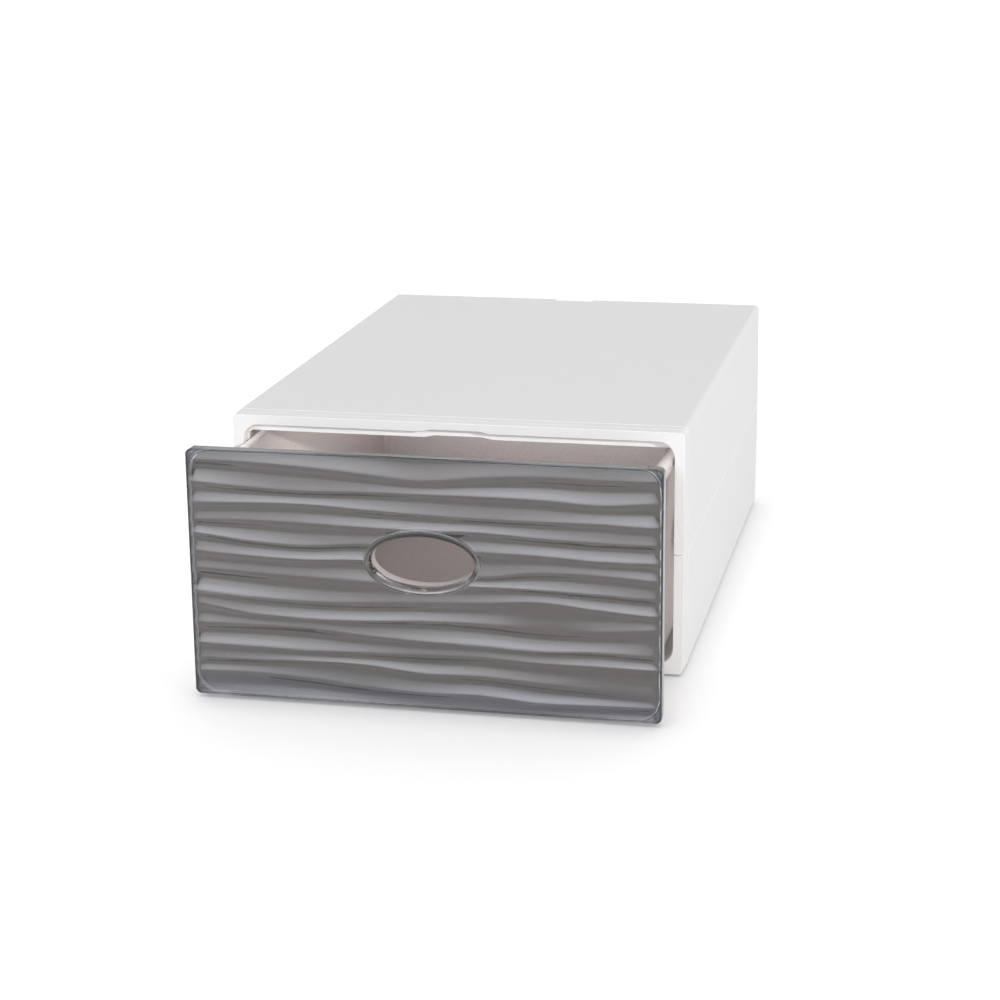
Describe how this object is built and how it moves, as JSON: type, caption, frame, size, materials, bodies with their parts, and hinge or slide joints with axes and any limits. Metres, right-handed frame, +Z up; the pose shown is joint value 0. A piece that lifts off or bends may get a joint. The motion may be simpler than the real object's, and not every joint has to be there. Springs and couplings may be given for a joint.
{
  "type": "stackable drawer box",
  "caption": "White two-part plastic cabinet with a taupe drawer pulled part way out, whose front has a thick smoky clear cover with a relief of horizontal waves and an oval finger hole.",
  "frame": {"origin": "on the resting plane, under the middle of the cabinet's body", "axes": "+Z up, -Y out of the drawer front, +X to the right as seen from the front"},
  "size_m": [0.2862, 0.4937, 0.1558],
  "materials": {
    "cabinet_white": "smooth moulded plastic with a soft sheen",
    "drawer_taupe": "fine moulded plastic, opaque",
    "clear_smoke": "clear smoky plastic, polished",
    "foot_soft": "soft elastomer"
  },
  "bodies": {
    "cabinet": {"upper_shell": "cabinet_white", "lower_shell": "cabinet_white", "foot_pad_front_left": "foot_soft", "foot_pad_front_right": "foot_soft", "foot_pad_rear_left": "foot_soft", "foot_pad_rear_right": "foot_soft"},
    "drawer": {"drawer_tray": "drawer_taupe", "front_cover": "clear_smoke"}
  },
  "joints": [
    {"name": "drawer_slide", "type": "slide", "parent": "cabinet", "child": "drawer", "axis": [0, -1, 0], "range_m": [-0.08, 0.29]}
  ]
}
